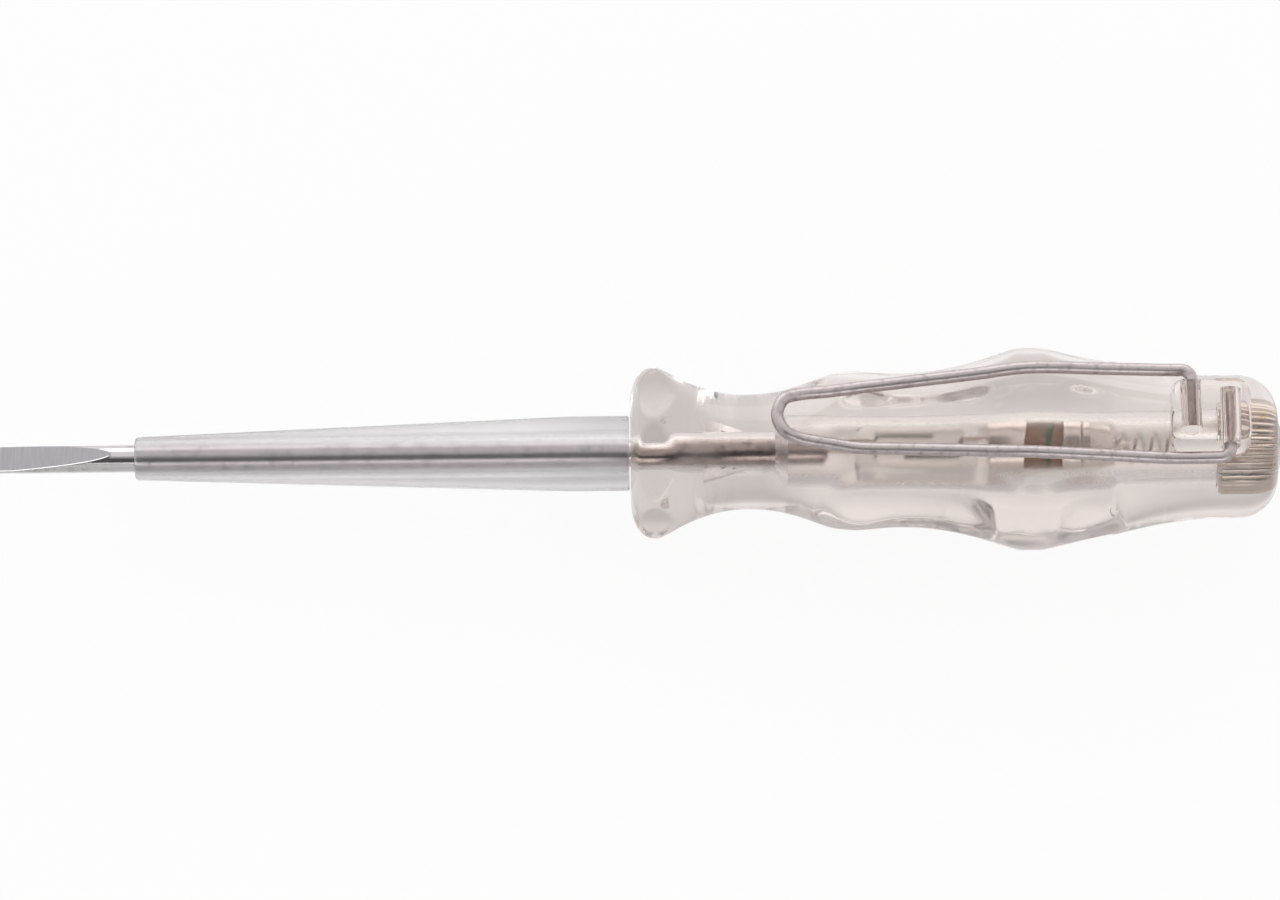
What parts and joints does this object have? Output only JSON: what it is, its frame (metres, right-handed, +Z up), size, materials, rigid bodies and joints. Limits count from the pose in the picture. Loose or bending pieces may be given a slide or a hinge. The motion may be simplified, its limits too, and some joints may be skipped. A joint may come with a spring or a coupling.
{
  "type": "voltage tester screwdriver",
  "caption": "Slotted screwdriver with a glow lamp in its clear faceted handle, an insulating sleeve over the blade, a touch contact in the butt and a sprung wire pocket clip.",
  "frame": {"origin": "on the plane the tool lies on, below the middle of its length and below its axis", "axes": "+X runs along the tool's axis from the blade tip to the butt, +Z points up from the handle flat that it lies on to the clip on top"},
  "size_m": [0.1422, 0.0228, 0.023],
  "materials": {
    "clear_plastic": "clear, moulded, glossy",
    "blade_steel": "bright drawn rod with a ground tip",
    "sleeve_plastic": "frosted, translucent",
    "clip_wire": "bright spring wire",
    "plug_metal": "nickel plated, knurled",
    "spring_wire": "drawn spring wire",
    "cup_metal": "nickel plated, turned",
    "resistor_lacquer": "brown lacquer with one green band",
    "cap_metal": "tin plated, pressed",
    "lamp_glass": "clear, fire polished",
    "electrode_metal": "coated nickel rod",
    "lead_wire": "copper clad wire"
  },
  "bodies": {
    "tool": {"handle": "clear_plastic", "blade": "blade_steel", "blade_sleeve": "sleeve_plastic", "contact_plug": "plug_metal", "contact_spring": "spring_wire", "contact_cup": "cup_metal", "resistor_body": "resistor_lacquer", "resistor_cap_front": "cap_metal", "resistor_cap_rear": "cap_metal", "lamp_glass": "lamp_glass", "lamp_electrode_front": "electrode_metal", "lamp_electrode_rear": "electrode_metal", "lamp_lead_front": "lead_wire", "lamp_lead_rear": "lead_wire"},
    "clip": {"pocket_clip": "clip_wire"}
  },
  "joints": [
    {"name": "clip_lift", "type": "hinge", "parent": "tool", "child": "clip", "pos_m": [0.063, 0, 0.0206], "axis": [0, 1, 0], "range_deg": [0, 6], "stiffness_Nm_per_rad": 0.1, "springref_deg": -5.73}
  ]
}
